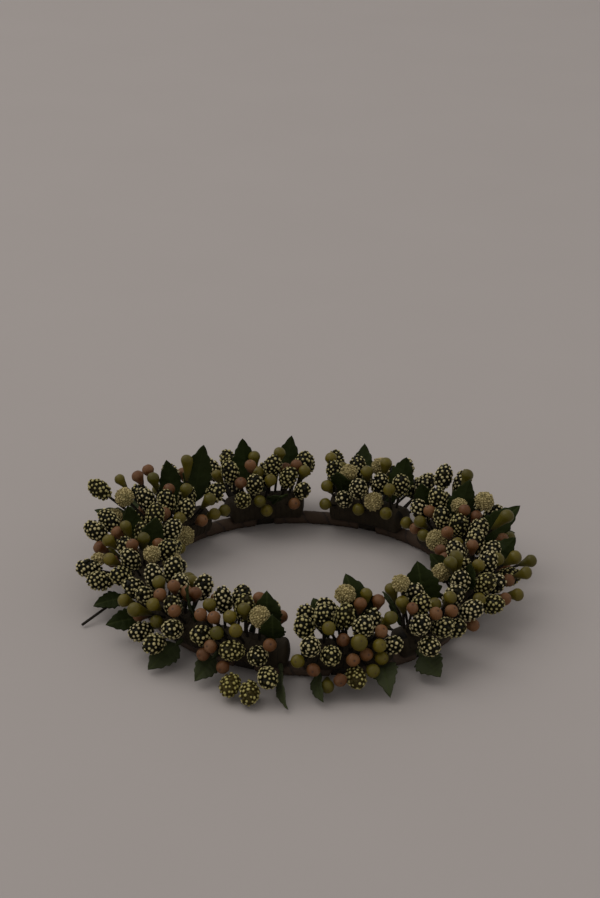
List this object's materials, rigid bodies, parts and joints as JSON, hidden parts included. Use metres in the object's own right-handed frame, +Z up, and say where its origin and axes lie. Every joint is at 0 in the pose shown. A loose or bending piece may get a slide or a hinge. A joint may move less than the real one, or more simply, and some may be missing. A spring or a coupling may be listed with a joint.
{
  "type": "candle ring",
  "caption": "Round candle ring: a paper-wrapped wire hoop set with wired sprigs of beaded pods, buds, berries, balls and toothed leaves, each bent up or down by hand.",
  "frame": {"origin": "middle of the ring on the surface it stands on, where the candle stands", "axes": "+Z up out of the table, -Y towards the front seen in the picture, +X to the right"},
  "size_m": [0.1528, 0.154, 0.0361],
  "materials": {
    "hoop_paper": "matt grey-brown",
    "core_wire": "drawn wire",
    "stem_tape": "matt waxed tape, dark olive brown",
    "beaded_pod": "cream and pale green beads on a dark core",
    "green_bud": "satin olive",
    "brown_berry": "dusty rose brown",
    "sugared_ball": "grainy khaki",
    "leaf": "matt dark green"
  },
  "bodies": {
    "hoop": {"hoop_core_wire": "core_wire", "hoop_paper_wrap": "hoop_paper"},
    "front_left_sprig": {"front_left_stem": "stem_tape", "front_left_pods": "beaded_pod", "front_left_green_buds": "green_bud", "front_left_brown_berries": "brown_berry", "front_left_sugared_balls": "sugared_ball", "front_left_leaves": "leaf"},
    "front_sprig": {"front_stem": "stem_tape", "front_pods": "beaded_pod", "front_green_buds": "green_bud", "front_brown_berries": "brown_berry", "front_sugared_balls": "sugared_ball", "front_leaves": "leaf"},
    "front_right_sprig": {"front_right_stem": "stem_tape", "front_right_pods": "beaded_pod", "front_right_green_buds": "green_bud", "front_right_brown_berries": "brown_berry", "front_right_sugared_balls": "sugared_ball", "front_right_leaves": "leaf"},
    "right_sprig": {"right_stem": "stem_tape", "right_pods": "beaded_pod", "right_green_buds": "green_bud", "right_brown_berries": "brown_berry", "right_sugared_balls": "sugared_ball", "right_leaves": "leaf"},
    "far_right_sprig": {"far_right_stem": "stem_tape", "far_right_pods": "beaded_pod", "far_right_green_buds": "green_bud", "far_right_brown_berries": "brown_berry", "far_right_sugared_balls": "sugared_ball", "far_right_leaves": "leaf"},
    "back_right_sprig": {"back_right_stem": "stem_tape", "back_right_pods": "beaded_pod", "back_right_green_buds": "green_bud", "back_right_sugared_balls": "sugared_ball", "back_right_leaves": "leaf"},
    "back_left_sprig": {"back_left_stem": "stem_tape", "back_left_pods": "beaded_pod", "back_left_green_buds": "green_bud", "back_left_brown_berries": "brown_berry", "back_left_leaves": "leaf"},
    "far_left_sprig": {"far_left_stem": "stem_tape", "far_left_pods": "beaded_pod", "far_left_green_buds": "green_bud", "far_left_brown_berries": "brown_berry", "far_left_sugared_balls": "sugared_ball", "far_left_leaves": "leaf"},
    "left_sprig": {"left_stem": "stem_tape", "left_pods": "beaded_pod", "left_green_buds": "green_bud", "left_brown_berries": "brown_berry", "left_sugared_balls": "sugared_ball", "left_leaves": "leaf"},
    "near_left_sprig": {"near_left_stem": "stem_tape", "near_left_pods": "beaded_pod", "near_left_green_buds": "green_bud", "near_left_brown_berries": "brown_berry", "near_left_leaves": "leaf"}
  },
  "joints": [
    {"name": "front_left_sprig_lift", "type": "hinge", "parent": "hoop", "child": "front_left_sprig", "pos_m": [-0.01803, -0.0509, 0.00205], "axis": [-0.9426, 0.3338, 0], "range_deg": [0, 14]},
    {"name": "front_sprig_lift", "type": "hinge", "parent": "hoop", "child": "front_sprig", "pos_m": [0.01169, -0.05272, 0.00205], "axis": [-0.9763, -0.2164, 0], "range_deg": [0, 14]},
    {"name": "front_right_sprig_lift", "type": "hinge", "parent": "hoop", "child": "front_right_sprig", "pos_m": [0.03717, -0.03917, 0.00205], "axis": [-0.7254, -0.6884, 0], "range_deg": [0, 14]},
    {"name": "right_sprig_lift", "type": "hinge", "parent": "hoop", "child": "right_sprig", "pos_m": [0.05251, -0.01261, 0.00205], "axis": [-0.2334, -0.9724, 0], "range_deg": [0, 14]},
    {"name": "far_right_sprig_lift", "type": "hinge", "parent": "hoop", "child": "far_right_sprig", "pos_m": [0.04853, 0.02367, 0.00205], "axis": [0.4384, -0.8988, 0], "range_deg": [0, 14]},
    {"name": "back_right_sprig_lift", "type": "hinge", "parent": "hoop", "child": "back_right_sprig", "pos_m": [0.02153, 0.04952, 0.00205], "axis": [0.9171, -0.3987, 0], "range_deg": [0, 14]},
    {"name": "back_left_sprig_lift", "type": "hinge", "parent": "hoop", "child": "back_left_sprig", "pos_m": [-0.01579, 0.05164, 0.00205], "axis": [0.9563, 0.2924, 0], "range_deg": [0, 14]},
    {"name": "far_left_sprig_lift", "type": "hinge", "parent": "hoop", "child": "far_left_sprig", "pos_m": [-0.04503, 0.0298, 0.00205], "axis": [0.5519, 0.8339, 0], "range_deg": [0, 14]},
    {"name": "left_sprig_lift", "type": "hinge", "parent": "hoop", "child": "left_sprig", "pos_m": [-0.05375, -0.00518, 0.00205], "axis": [-0.0958, 0.9954, 0], "range_deg": [0, 14]},
    {"name": "near_left_sprig_lift", "type": "hinge", "parent": "hoop", "child": "near_left_sprig", "pos_m": [-0.04106, -0.03507, 0.00205], "axis": [-0.6494, 0.7604, 0], "range_deg": [0, 14]}
  ]
}
